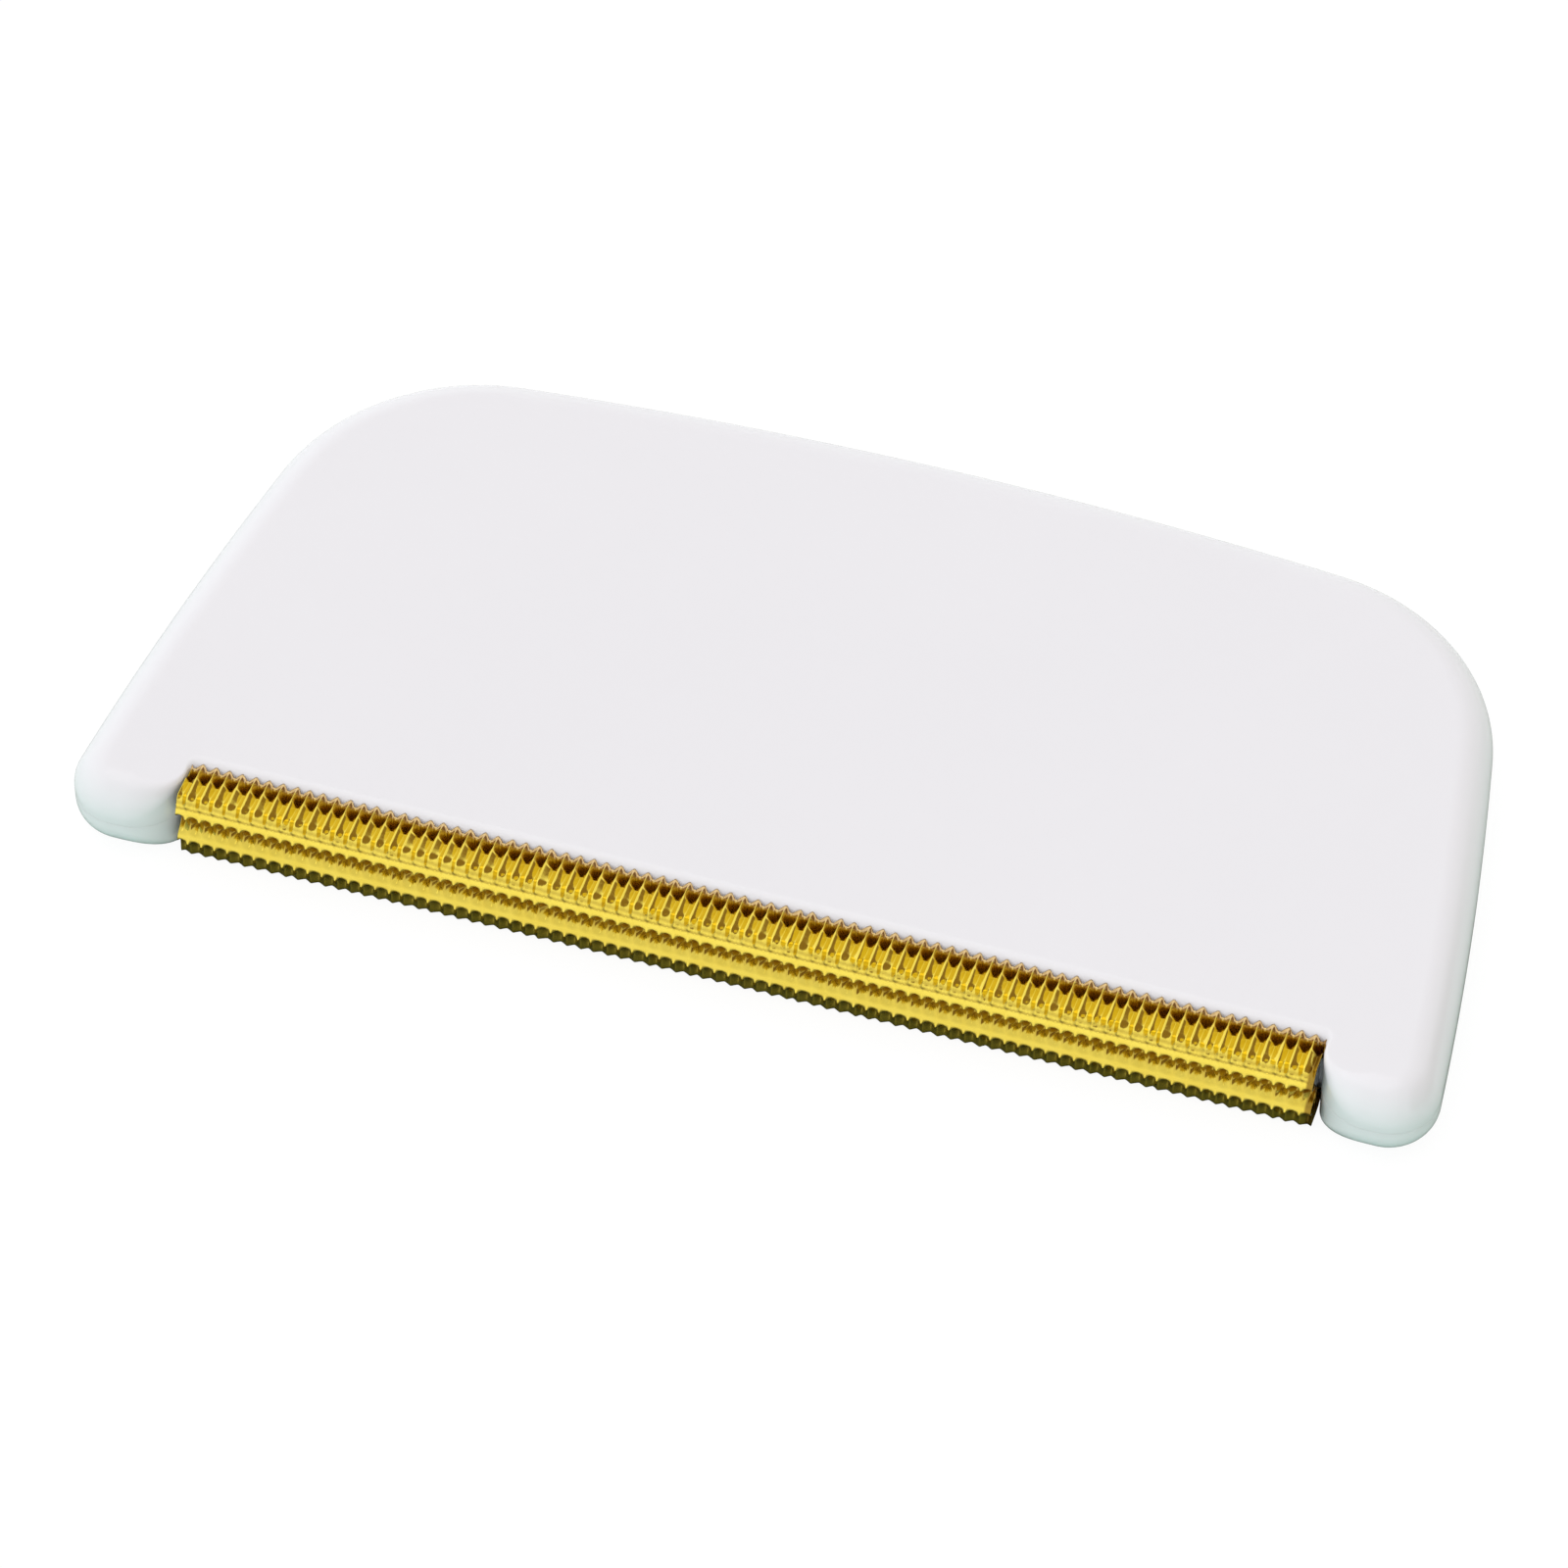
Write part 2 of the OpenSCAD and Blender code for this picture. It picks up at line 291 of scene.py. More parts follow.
# The deeper tone of the brass, as shares of its red, green and blue
BRASS_DEEP = (0.933, 0.87, 0.633)
# Distance of the back teeth from the middle, in mm: where their painted tan highlight begins, and where it
# is full
TEETH_START, TEETH_FULL = -18.0, -17.7
# Tan of the painted highlight on the back teeth
TEETH_HIGHLIGHT_BRASS = "#DCBE88"
# Brown of the painted shade in the folds and at the right end of the strip
PAINTED_FOLD_SHADE_BROWN = "#6E4418"


def bright_brass(colour):
    """Thin rolled brass: bright, with rolling lines and dents from the folding, a painted tan highlight on
    the back teeth, and painted shade in the folds.
    """
    mat, tree, out = new_material("bright_brass")
    place = add_node(tree, "ShaderNodeTexCoord").outputs["Object"]
    dents = add_node(
        tree,
        "ShaderNodeTexNoise",
        {"Vector": place, "Scale": 1 / (DENT * MM), "Detail": 2.0, "Roughness": 0.5},
    ).outputs["Fac"]
    drawn_out = add_node(tree, "ShaderNodeMapping", {"Vector": place, "Scale": ROLL_STRETCH})
    lines = add_node(
        tree,
        "ShaderNodeTexNoise",
        {
            "Vector": drawn_out.outputs["Vector"],
            "Scale": 1 / (ROLL_LINE * MM),
            "Detail": 3.0,
            "Roughness": 0.6,
        },
    ).outputs["Fac"]
    rough = add_node(
        tree,
        "ShaderNodeMapRange",
        {"Value": lines, "From Min": 0.3, "From Max": 0.7, "To Min": 0.08, "To Max": 0.16},
    )
    deep = (*[c * share for c, share in zip(colour, BRASS_DEEP)], 1.0)
    tone = add_node(tree, "ShaderNodeMixRGB", {"Fac": dents, "Color1": deep, "Color2": (*colour, 1.0)})
    across = add_node(tree, "ShaderNodeSeparateXYZ", {"Vector": place})
    teeth = add_node(
        tree,
        "ShaderNodeMapRange",
        {"Value": across.outputs["Y"], "From Min": TEETH_START * MM, "From Max": TEETH_FULL * MM},
        interpolation_type="SMOOTHSTEP",
    )
    # Painted highlight: the back teeth turn a paler tan
    teeth_highlight = add_node(
        tree,
        "ShaderNodeMixRGB",
        {"Fac": teeth.outputs["Result"], "Color1": tone.outputs["Color"], "Color2": linear(TEETH_HIGHLIGHT_BRASS)},
    )
    # Painted shade: darker brown brass in the grooves, the folds and at the right end, read from the
    # strip's attribute
    dark = add_node(tree, "ShaderNodeAttribute", attribute_name=PAINTED_SHADE_ATTR)
    fold_shaded = add_node(
        tree,
        "ShaderNodeMixRGB",
        {
            "Fac": dark.outputs["Fac"],
            "Color1": teeth_highlight.outputs["Color"],
            "Color2": linear(PAINTED_FOLD_SHADE_BROWN),
        },
    )
    dent_bump = add_node(
        tree, "ShaderNodeBump", {"Height": dents, "Strength": 0.5, "Distance": DENT_HEIGHT * MM}
    ).outputs["Normal"]
    line_bump = add_node(
        tree,
        "ShaderNodeBump",
        {"Height": lines, "Strength": 0.3, "Distance": ROLL_LINE_HEIGHT * MM, "Normal": dent_bump},
    )
    shader = add_node(
        tree,
        "ShaderNodeBsdfPrincipled",
        {
            "Base Color": fold_shaded.outputs["Color"],
            "Metallic": 1.0,
            "Roughness": rough.outputs["Result"],
            "Normal": line_bump.outputs["Normal"],
        },
    )
    tree.links.new(shader.outputs["BSDF"], out.inputs["Surface"])
    return mat


# Handle


def arc(centre, r, a1, a2, steps, round1, round2, sign=1):
    """One arc of the outline as rows of x, y, outward normal x and y, and edge rounding."""
    t = np.linspace(0, 1, steps + 1)
    a = a1 + (a2 - a1) * t
    blend = (1 - np.cos(math.pi * t)) / 2
    return np.column_stack(
        [
            centre[0] + r * np.cos(a),
            centre[1] + r * np.sin(a),
            sign * np.cos(a),
            sign * np.sin(a),
            round1 + (round2 - round1) * blend,
        ]
    )


def circles_meet(c1, r1, c2, r2):
    """Where two circles meet, on the side of the back edge."""
    gap = np.linalg.norm(c2 - c1)
    along = (r1 * r1 - r2 * r2 + gap * gap) / (2 * gap)
    across = math.sqrt(r1 * r1 - along * along)
    d = (c2 - c1) / gap
    return c1 + along * d + across * np.array([d[1], -d[0]])


def bearing(origin, to):
    """The direction from one point to another, as an angle from +X."""
    return math.atan2(to[1] - origin[1], to[0] - origin[0])


# Steps in the arcs of one half of the outline: back edge, corner, side, outer and inner side of the
# foot tip, and notch corner
ARC_STEPS = (40, 44, 30, 24, 24, 10)
# Neighbouring points of the outline closer than this, in mm, are one point
SAME_POINT = 1e-4


def handle_outline(s):
    """The closed outline of the handle from above, with normals and the rounding at each point."""
    half_w, half_d = FRONT_HIGH.x, FRONT_HIGH.y
    tip, wall = -half_d, -half_d + s.notch_d
    back_c = np.array([0, half_d - s.back_r])
    outer_c = np.array([half_w - s.foot_outer_r, tip + s.foot_outer_r])
    inner_c = np.array([s.notch_w / 2 + s.foot_inner_r, tip + s.foot_inner_r])
    notch_c = np.array([s.notch_w / 2 - s.notch_r, wall - s.notch_r])
    lean = np.array([math.cos(s.side_lean), math.sin(s.side_lean)])
    side_c = outer_c - (s.side_r - s.foot_outer_r) * lean
    corner_c = circles_meet(back_c, s.back_r - s.corner_r, side_c, s.side_r - s.corner_r)
    back_end, side_end = bearing(back_c, corner_c), bearing(side_c, corner_c)
    quarter = math.pi / 2
    back, corner, side, foot_out, foot_in, notch = ARC_STEPS
    right = np.vstack(
        [
            arc(back_c, s.back_r, quarter, back_end, back, s.edge_r, s.edge_r),
            arc(corner_c, s.corner_r, back_end, side_end, corner, s.edge_r, s.edge_r),
            arc(side_c, s.side_r, side_end, s.side_lean, side, s.edge_r, s.edge_r),
            arc(outer_c, s.foot_outer_r, s.side_lean, -quarter, foot_out, s.edge_r, s.edge_r),
            arc(inner_c, s.foot_inner_r, -quarter, -2 * quarter, foot_in, s.edge_r, s.lip_r),
            arc(notch_c, s.notch_r, 0, quarter, notch, s.lip_r, s.back_lip_r, sign=-1),
        ]
    )
    # The left half mirrors the right one: x and the normal's x change sign
    left = right[::-1] * np.array([-1, 1, -1, 1, 1])
    both = np.vstack([right, left])
    step = np.linalg.norm(both[:, :2] - np.roll(both[:, :2], -1, axis=0), axis=1)
    return both[step > SAME_POINT]


# Rows of points up the rounded edge
EDGE_ROWS = 15
# The groove of the joint line: inset, rise (as shares of its depth) and tilt of the normal
SEAM_ROWS = ((1, 0, 0.0), (0.3, 0.6, -0.7), (0, 1.6, 0.0))


def half_shell(name, s, material, low, high, flip):
    """One half of the handle: its wall, its rounded edge, its flat face and a fine joint line."""
    outline = handle_outline(s)
    xy, normal, rounding = outline[:, :2], outline[:, 2:4], outline[:, 4]
    count = len(outline)
    rows, row_normals = [], []
    for inset, rise, tilt in SEAM_ROWS:
        rows.append(np.column_stack([xy - normal * inset * s.seam, np.full(count, low + rise * s.seam)]))
        row_normals.append(np.column_stack([normal, np.full(count, tilt)]))
    for a in np.linspace(0, math.pi / 2, EDGE_ROWS):
        inset = (rounding * (1 - math.cos(a)))[:, None]
        z = high - rounding + rounding * math.sin(a)
        rows.append(np.column_stack([xy - normal * inset, z]))
        row_normals.append(np.column_stack([normal * math.cos(a), np.full(count, math.sin(a))]))
    faces = []
    for b in range(len(rows) - 1):
        lo, hi = b * count, (b + 1) * count
        for i in range(count):
            j = (i + 1) % count
            faces.append((lo + i, hi + i, hi + j, lo + j))
    # The joint face and the flat face close the shell
    faces.append(tuple(range(count)))
    top = (len(rows) - 1) * count
    faces.append(tuple(top + i for i in range(count - 1, -1, -1)))
    points, normals = np.vstack(rows), np.vstack(row_normals)
    if flip:
        points[:, 2] = FRONT_HIGH.z - points[:, 2]
        normals[:, 2] *= -1
        faces = [f[::-1] for f in faces]
    normals /= np.linalg.norm(normals, axis=1)[:, None]
    return mesh_piece(name, points, faces, material, normals=normals)


# Strip

# The profile of the strip in mm, from the cut end on the bar over the top and down the front to the other
# cut end. Each station holds the crest and the groove (distance in front of the edge of the handle's flat
# face, and height), whether the sheet is creased there, how sharply the crest is pinched, and how much
# painted shade the sheet gets on the crest and in the groove
STRIP_LINE = [
    ((1.25, 4.20), (1.40, 4.10), True, 1.0, 0.6, 0.8),
    ((0.98, 4.80), (1.20, 4.75), False, 1.0, 0.5, 0.7),
    ((0.60, 5.35), (1.08, 5.25), True, 1.0, 0.1, 0.2),
    ((0.98, 5.40), (1.16, 4.80), False, 1.0, 0.1, 0.45),
    ((1.25, 5.42), (1.26, 4.35), False, 1.0, 0.1, 0.5),
    ((1.50, 5.43), (1.50, 4.20), False, 1.0, 0.1, 0.5),
    ((1.70, 5.44), (1.76, 4.62), False, 1.0, 0.1, 0.45),
    ((1.90, 5.44), (1.90, 5.00), True, 1.0, 0.0, 0.1),
    ((2.40, 5.44), (2.35, 5.02), False, 1.0, 0.0, 0.0),
    ((2.90, 5.44), (2.72, 5.06), False, 1.0, 0.0, 0.0),
    ((3.36, 5.42), (3.08, 5.13), False, 1.3, 0.0, 0.0),
    ((3.60, 5.22), (3.34, 5.00), False, 1.6, 0.0, 0.0),
    ((3.68, 5.00), (3.50, 4.78), True, 1.5, 0.3, 0.4),
    ((3.80, 4.82), (3.62, 4.65), False, 1.5, 0.0, 0.0),
    ((3.80, 4.60), (3.73, 4.54), True, 1.5, 0.6, 0.45),
    ((3.83, 4.51), (3.82, 4.50), True, 1.0, 0.0, 0.0),
    ((3.98, 4.23), (3.98, 4.20), True, 1.0, 0.0, 0.0),
    ((4.05, 4.10), (3.86, 4.10), False, 1.0, 0.0, 0.05),
    ((4.11, 3.97), (3.62, 3.99), True, 1.0, 0.0, 0.3),
    ((3.55, 3.70), (2.90, 3.70), False, 1.2, 0.8, 1.0),
    ((3.34, 3.25), (2.76, 3.25), False, 1.4, 0.8, 1.0),
    ((3.26, 2.90), (2.74, 2.90), False, 1.4, 0.8, 1.0),
    ((3.42, 2.62), (2.92, 2.62), False, 1.4, 0.45, 0.5),
    ((3.66, 2.39), (3.28, 2.45), False, 1.4, 0.25, 0.15),
    ((3.83, 2.18), (3.82, 2.17), True, 1.0, 0.15, 0.15),
    ((3.98, 1.90), (3.98, 1.87), True, 1.0, 0.1, 0.1),
    ((4.05, 1.77), (3.86, 1.77), False, 1.0, 0.0, 0.05),
    ((4.11, 1.64), (3.62, 1.66), True, 1.0, 0.0, 0.3),
    ((3.70, 1.30), (3.26, 1.30), False, 1.2, 0.2, 0.8),
    ((3.64, 0.85), (3.28, 0.85), False, 1.4, 0.0, 0.4),
    ((3.64, 0.42), (3.42, 0.42), False, 1.4, 0.0, 0.1),
    ((3.52, 0.12), (3.36, 0.22), False, 1.3, 0.0, 0.0),
    ((2.90, 0.07), (2.72, 0.45), False, 1.0, 0.0, 0.0),
    ((2.40, 0.06), (2.35, 0.50), False, 1.0, 0.0, 0.0),
    ((1.90, 0.06), (1.90, 0.50), True, 1.0, 0.0, 0.1),
    ((1.70, 0.06), (1.76, 0.88), False, 1.0, 0.1, 0.6),
    ((1.50, 0.07), (1.50, 1.30), False, 1.0, 0.1, 0.7),
    ((1.25, 0.08), (1.26, 1.15), False, 1.0, 0.1, 0.7),
    ((0.98, 0.10), (1.16, 0.70), False, 1.0, 0.1, 0.6),
    ((0.60, 0.15), (1.08, 0.25), True, 1.0, 0.1, 0.2),
    ((0.98, 0.70), (1.20, 0.75), False, 1.0, 0.5, 0.7),
    ((1.25, 1.30), (1.40, 1.40), True, 1.0, 0.6, 0.8),
]


def smooth_line(points, creased, steps):
    """A finer line through the points: a Catmull-Rom curve that breaks at creases."""
    points = np.asarray(points, float)
    out = []
    n = len(points)
    for i in range(n - 1):
        p1, p2 = points[i], points[i + 1]
        p0 = points[i - 1] if i > 0 and not creased[i] else 2 * p1 - p2
        p3 = points[i + 2] if i < n - 2 and not creased[i + 1] else 2 * p2 - p1
        for t in np.linspace(0, 1, steps, endpoint=False):
            out.append(
                0.5
                * (
                    2 * p1
                    + (p2 - p0) * t
                    + (2 * p0 - 5 * p1 + 4 * p2 - p3) * t * t
                    + (3 * p1 - p0 - 3 * p2 + p3) * t**3
                )
            )
    out.append(points[-1])
    return np.array(out)


# Points of the finer line between two stations
LINE_STEPS = 3
# Where the columns of points stand within one pleat: close together at the crest and the groove
PLEAT_PHASES = (0, 0.02, 0.05, 0.1, 0.25, 0.4, 0.45, 0.48, 0.5, 0.52, 0.55, 0.6, 0.75, 0.9, 0.95, 0.98)
# How round the folds are, as a share of half a pleat
FOLD_ROUNDING = 0.16
# Part of a pleat left over at each end of the strip, which closes the gap beside the foot
END_PART = 0.28
# The part of a pleat at the right end that gets painted shade, and how dark that painted shade is
DARK_END, END_DARKNESS = 0.2, 0.75
# The lowest and the highest pleats, as shares of the regular height
PLEAT_HEIGHTS = (0.9, 1.03)
# How fast the painted shade of a groove fades on the way up to the crest
FADE_POWER = 3


def strip_grid(s):
    """Points of the pleated sheet: one row for each station of the profile, one column across."""
    stations = STRIP_LINE
    creased = [x[2] for x in stations]
    crest = smooth_line([x[0] for x in stations], creased, LINE_STEPS)
    groove = smooth_line([x[1] for x in stations], creased, LINE_STEPS)
    steps = np.linspace(0, len(stations) - 1, len(crest))
    pinch, crest_dark, groove_dark = (
        np.interp(steps, range(len(stations)), [x[k] for x in stations]) for k in (3, 4, 5)
    )
    length = STRIP_HIGH.x - STRIP_LOW.x
    pleats = round(length / s.pitch)
    u = (np.arange(-1, pleats + 1)[:, None] + np.array(PLEAT_PHASES)).ravel()
    u = np.concatenate([[-END_PART], u[(u > -END_PART) & (u < pleats + END_PART)], [pleats + END_PART]])
    part = u - np.floor(u)
    pleat = np.clip(np.floor(u).astype(int), 0, pleats - 1)
    across = 2 * part - 1
    peak = math.hypot(1, FOLD_ROUNDING)
    weight = (peak - np.hypot(across, FOLD_ROUNDING)) / (peak - FOLD_ROUNDING)
    bell = np.sin(math.pi * part) ** 2
    rng = np.random.default_rng(s.seed)
    shift = rng.normal(0, s.wander, pleats)[pleat] * bell
    height = np.clip(rng.normal(1, s.wander, pleats), *PLEAT_HEIGHTS)[pleat]
    x = STRIP_LOW.x + u * length / pleats + shift
    edge = BACK_LOW.y + FACE_EDGE
    # The last part of a pleat at the right end gets painted shade
    at_end = np.where(u > pleats - DARK_END, END_DARKNESS, 0.0)
    rows, darkness = [], []
    for c, g, power, on_crest, in_groove in zip(crest, groove, pinch, crest_dark, groove_dark):
        rise = weight**power * height
        f = g[0] + rise * (c[0] - g[0])
        z = g[1] + rise * (c[1] - g[1])
        rows.append(np.column_stack([x, edge - f, z]))
        # Painted shade: set for each groove, fading towards the crest
        fade = weight**FADE_POWER
        darkness.append(np.maximum(in_groove + fade * (on_crest - in_groove), at_end))
    return np.array(rows), np.array(darkness)


def pleated_strip(name, s, material):
    """The pleated sheet, with its thickness and its painted shade in the folds."""
    grid, darkness = strip_grid(s)
    rows, cols, _ = grid.shape
    index = np.arange(rows * cols).reshape(rows, cols)
    corners = (index[:-1, :-1], index[1:, :-1], index[1:, 1:], index[:-1, 1:])
    faces = np.stack([corner.ravel() for corner in corners], axis=1)
    obj = mesh_piece(name, grid.reshape(-1, 3), faces.tolist(), material)
    # The painted shade is stored on the points, for the brass material
    obj.data.attributes.new(PAINTED_SHADE_ATTR, "FLOAT", "POINT").data.foreach_set("value", darkness.ravel())
    solid = obj.modifiers.new("thickness", "SOLIDIFY")
    solid.thickness = s.sheet * MM
    solid.offset = -1.0
    return obj


# Stage

WHITE = "#FFFFFF"
# Colour of the floor where it sends light to the comb, and its mirror image near the comb, darkened there
# as a painted shadow, and far from it
FLOOR_LIGHT = "#BCE6D8"
FLOOR_NEAR, FLOOR_FAR = "#3C4A38", WHITE
# How far from the comb the mirror image carries a painted shadow, in mm, and how fast that fades
SHADOW_REACH, SHADOW_POWER = 12, 3.0
# What the camera sees: an even glow, and a little of the real shade
FLOOR_GLOW, FLOOR_SHADE = 0.92, "#595959"
# The paper's grain: how far apart and how high it is, in mm
PAPER_GRAIN, PAPER_GRAIN_HEIGHT = 1.5, 0.01


def floor_material():
    """Pale paper, white where the camera looks at it, with a faint contact shadow, and a painted shadow
    near the comb in its mirror image.
    """
    mat, tree, out = new_material("pale_paper")
    place = add_node(tree, "ShaderNodeTexCoord").outputs["Object"]
    grain = add_node(
        tree, "ShaderNodeTexNoise", {"Vector": place, "Scale": 1 / (PAPER_GRAIN * MM), "Detail": 4.0}
    ).outputs["Fac"]
    grain_bump = add_node(
        tree, "ShaderNodeBump", {"Height": grain, "Strength": 0.1, "Distance": PAPER_GRAIN_HEIGHT * MM}
    ).outputs["Normal"]
    paper = add_node(tree, "ShaderNodeBsdfDiffuse", {"Color": linear(FLOOR_LIGHT), "Normal": grain_bump})
    shade = add_node(tree, "ShaderNodeBsdfDiffuse", {"Color": linear(FLOOR_SHADE)})
    glow = add_node(tree, "ShaderNodeEmission", {"Color": linear(WHITE), "Strength": FLOOR_GLOW})
    seen = add_node(tree, "ShaderNodeAddShader", {0: shade.outputs["BSDF"], 1: glow.outputs["Emission"]})
    # Painted shadow: the mirror image darkens where the comb hides the sky
    near = add_node(tree, "ShaderNodeAmbientOcclusion", {"Distance": SHADOW_REACH * MM}, samples=8)
    open_sky = add_node(
        tree, "ShaderNodeMath", {0: near.outputs["AO"], 1: SHADOW_POWER}, operation="POWER"
    )
    ground = add_node(
        tree,
        "ShaderNodeMixRGB",
        {"Fac": open_sky.outputs["Value"], "Color1": linear(FLOOR_NEAR), "Color2": linear(FLOOR_FAR)},
    )
    mirrored = add_node(tree, "ShaderNodeBsdfDiffuse", {"Color": ground.outputs["Color"]})
    path = add_node(tree, "ShaderNodeLightPath").outputs
    other = add_node(
        tree,
        "ShaderNodeMixShader",
        {"Fac": path["Is Glossy Ray"], 1: paper.outputs["BSDF"], 2: mirrored.outputs["BSDF"]},
    )
    shown = add_node(
        tree,
        "ShaderNodeMixShader",
        {"Fac": path["Is Camera Ray"], 1: other.outputs["Shader"], 2: seen.outputs["Shader"]},
    )
    tree.links.new(shown.outputs["Shader"], out.inputs["Surface"])
    return mat


# Brightness of the surroundings from the horizon (0) to straight up (1)
SKY = ((0.0, 1.2), (0.2, 1.3), (0.42, 1.2), (0.62, 1.15), (0.75, 1.05), (1.0, 1.0))
# Where the surroundings are dark and warm, low down on the right, and their colour there
DARK_SIDE = (0.956, 0.151, 0.25)
DARK_COLOUR = "#957C61"
# Cosines of the angles from that direction at which the dark begins and is full
DARK_START, DARK_FULL = 0.72, 0.84


def make_world():
    """Soft studio surroundings: bright nearly all round, dark low on the right, white for the camera."""
    world = bpy.data.worlds.new("studio")
    bpy.context.scene.world = world
    world.use_nodes = True
    tree = world.node_tree
    tree.nodes.clear()
    out = tree.nodes.new("ShaderNodeOutputWorld")
    way = add_node(tree, "ShaderNodeTexCoord").outputs["Generated"]
    parts = add_node(tree, "ShaderNodeSeparateXYZ", {"Vector": way})
    sky = add_node(tree, "ShaderNodeValToRGB", {"Fac": parts.outputs["Z"]})
    elements = sky.color_ramp.elements
    while len(elements) < len(SKY):
        elements.new(1.0)
    for element, (height, brightness) in zip(elements, SKY):
        element.position = height
        element.color = (brightness, brightness, brightness, 1)
    side = Vector(DARK_SIDE).normalized()
    towards = add_node(tree, "ShaderNodeVectorMath", {0: way, 1: side}, operation="DOT_PRODUCT")
    turn = add_node(
        tree,
        "ShaderNodeMapRange",
        {"Value": towards.outputs["Value"], "From Min": DARK_START, "From Max": DARK_FULL},
        interpolation_type="SMOOTHSTEP",
    )
    colour = add_node(
        tree,
        "ShaderNodeMixRGB",
        {"Fac": turn.outputs["Result"], "Color1": sky.outputs["Color"], "Color2": linear(DARK_COLOUR)},
    )
    around = add_node(tree, "ShaderNodeBackground", {"Color": colour.outputs["Color"], "Strength": 1.0})
    white = add_node(tree, "ShaderNodeBackground", {"Color": linear(WHITE), "Strength": 1.0})
    path = add_node(tree, "ShaderNodeLightPath").outputs
    shown = add_node(
        tree,
        "ShaderNodeMixShader",
        {"Fac": path["Is Camera Ray"], 1: around.outputs["Background"], 2: white.outputs["Background"]},
    )
    tree.links.new(shown.outputs["Shader"], out.inputs["Surface"])


# The soft light above the comb: place and size in mm, and power in watts
LIGHT_PLACE = (-60, 60, 520)
LIGHT_SIZE = 420
LIGHT_POWER = 0.4


def make_light():
    """A square soft light that points at the middle of the comb."""
    data = bpy.data.lights.new("soft_top", "AREA")
    data.shape = "SQUARE"
    data.size = LIGHT_SIZE * MM
    data.energy = LIGHT_POWER
    obj = bpy.data.objects.new("soft_top", data)
    bpy.context.scene.collection.objects.link(obj)
    obj.location = Vector(LIGHT_PLACE) * MM
    obj.rotation_euler = (-obj.location).to_track_quat("-Z", "Y").to_euler()


# The camera, fitted to the outline in the photograph: where it stands, which way it looks, and its
# lens and sensor in mm
CAMERA_MM = (93.25, -305.87, 365.65)
CAMERA_AZIMUTH = math.radians(17.541)
CAMERA_ELEVATION = math.radians(49.079)
CAMERA_LENS = 178.2
SENSOR = 36.0
# Nearest and farthest things that it sees, in metres
CLIP = (0.01, 10)


def make_camera():
    """The camera of the photograph."""
    data = bpy.data.cameras.new("camera")
    data.lens, data.sensor_width = CAMERA_LENS, SENSOR
    data.clip_start, data.clip_end = CLIP
    obj = bpy.data.objects.new("camera", data)
    bpy.context.scene.collection.objects.link(obj)
    az, el = CAMERA_AZIMUTH, CAMERA_ELEVATION
    back = Vector((math.sin(az) * math.cos(el), -math.cos(az) * math.cos(el), math.sin(el)))
    right = Vector((math.cos(az), math.sin(az), 0))
    up = back.cross(right)
    turn = Matrix((right, up, back)).transposed()
    obj.matrix_world = Matrix.Translation(Vector(CAMERA_MM) * MM) @ turn.to_4x4()
    bpy.context.scene.camera = obj


# Operators and panel

# Half the side of the floor, and how far it lies under the comb, in mm
FLOOR_HALF, FLOOR_DROP = 2500.0, 0.02


class COMB_OT_handle(bpy.types.Operator):
    """Build the two halves of the handle"""

    bl_idname = "comb.handle"
    bl_label = "Handle"

    def execute(self, context):
        s = context.scene.comb_handle
        material = gloss_plastic(s.colour)
        half_t = FRONT_HIGH.z / 2
        front = half_shell("handle_front_shell", s, material, half_t, FRONT_HIGH.z, False)
        back = half_shell("handle_back_shell", s, material, half_t, FRONT_HIGH.z, True)
        for piece, node in ((front, "handle_front"), (back, "handle_back")):
            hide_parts(node)
            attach(piece, "root")
        return {"FINISHED"}


class COMB_OT_core(bpy.types.Operator):
    """Give the bar under the strip its material"""

    bl_idname = "comb.core"
    bl_label = "Bar"

    def execute(self, context):
        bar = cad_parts["comb_core"]
        bar.data.materials.clear()
        bar.data.materials.append(plain_plastic(BAR_COLOUR))
        return {"FINISHED"}


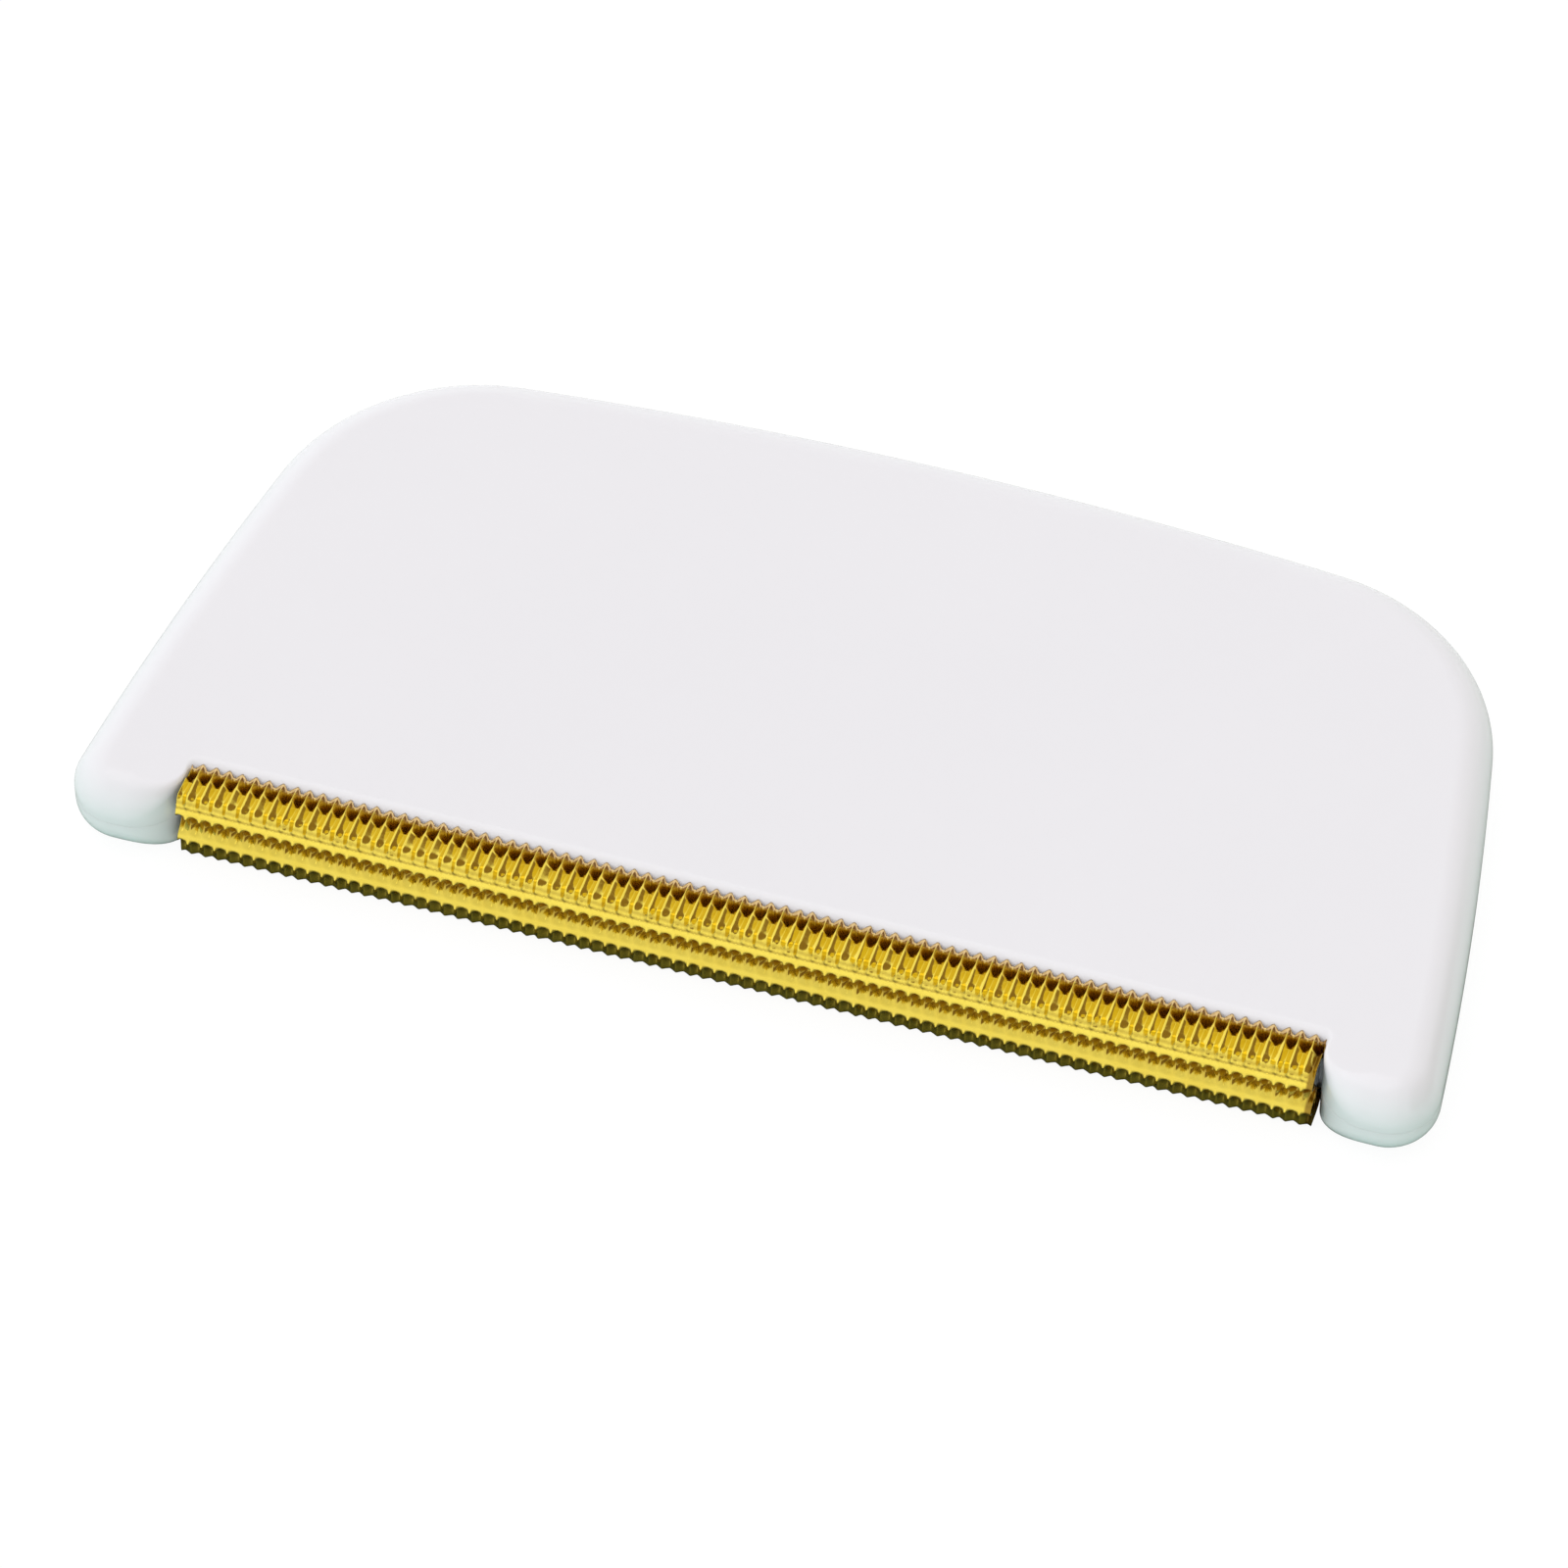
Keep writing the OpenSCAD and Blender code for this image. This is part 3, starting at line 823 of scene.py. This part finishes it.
class COMB_OT_strip(bpy.types.Operator):
    """Build the pleated brass strip"""

    bl_idname = "comb.strip"
    bl_label = "Comb strip"

    def execute(self, context):
        s = context.scene.comb_strip
        piece = pleated_strip("comb_strip_pleats", s, bright_brass(s.colour))
        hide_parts("comb_strip")
        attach(piece, "root")
        return {"FINISHED"}


class COMB_OT_stage(bpy.types.Operator):
    """Make the floor, the lights and the camera"""

    bl_idname = "comb.stage"
    bl_label = "Stage"

    def execute(self, context):
        corners = [(x * FLOOR_HALF, y * FLOOR_HALF, 0) for x, y in ((-1, -1), (1, -1), (1, 1), (-1, 1))]
        floor = mesh_piece("floor", corners, [(0, 1, 2, 3)], floor_material(), smooth=False)
        floor.location.z = -FLOOR_DROP * MM
        context.scene.view_settings.view_transform = "Standard"
        make_world()
        make_light()
        make_camera()
        return {"FINISHED"}


class COMB_PT_panel(bpy.types.Panel):
    """Sizes, colours and the build steps of the sweater comb"""

    bl_idname = "COMB_PT_panel"
    bl_label = "Sweater comb"
    bl_space_type = "VIEW_3D"
    bl_region_type = "UI"
    bl_category = "Sweater comb"

    def draw(self, context):
        scene = context.scene
        for settings in (scene.comb_handle, scene.comb_strip):
            box = self.layout.box()
            for key in settings.bl_rna.properties.keys():
                if key not in ("rna_type", "name"):
                    box.prop(settings, key)
        for operator in OPERATORS:
            self.layout.operator(operator.bl_idname)


OPERATORS = (COMB_OT_handle, COMB_OT_core, COMB_OT_strip, COMB_OT_stage)
CLASSES = (CombHandle, CombStrip, *OPERATORS, COMB_PT_panel)


def register():
    for cls in CLASSES:
        bpy.utils.register_class(cls)
    bpy.types.Scene.comb_handle = bpy.props.PointerProperty(type=CombHandle)
    bpy.types.Scene.comb_strip = bpy.props.PointerProperty(type=CombStrip)


def unregister():
    del bpy.types.Scene.comb_strip
    del bpy.types.Scene.comb_handle
    for cls in reversed(CLASSES):
        bpy.utils.unregister_class(cls)


def main():
    """Builds the looks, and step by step."""
    register()
    bpy.ops.comb.handle()
    bpy.ops.comb.core()
    bpy.ops.comb.strip()
    bpy.ops.comb.stage()


if __name__ == "__main__":
    main()
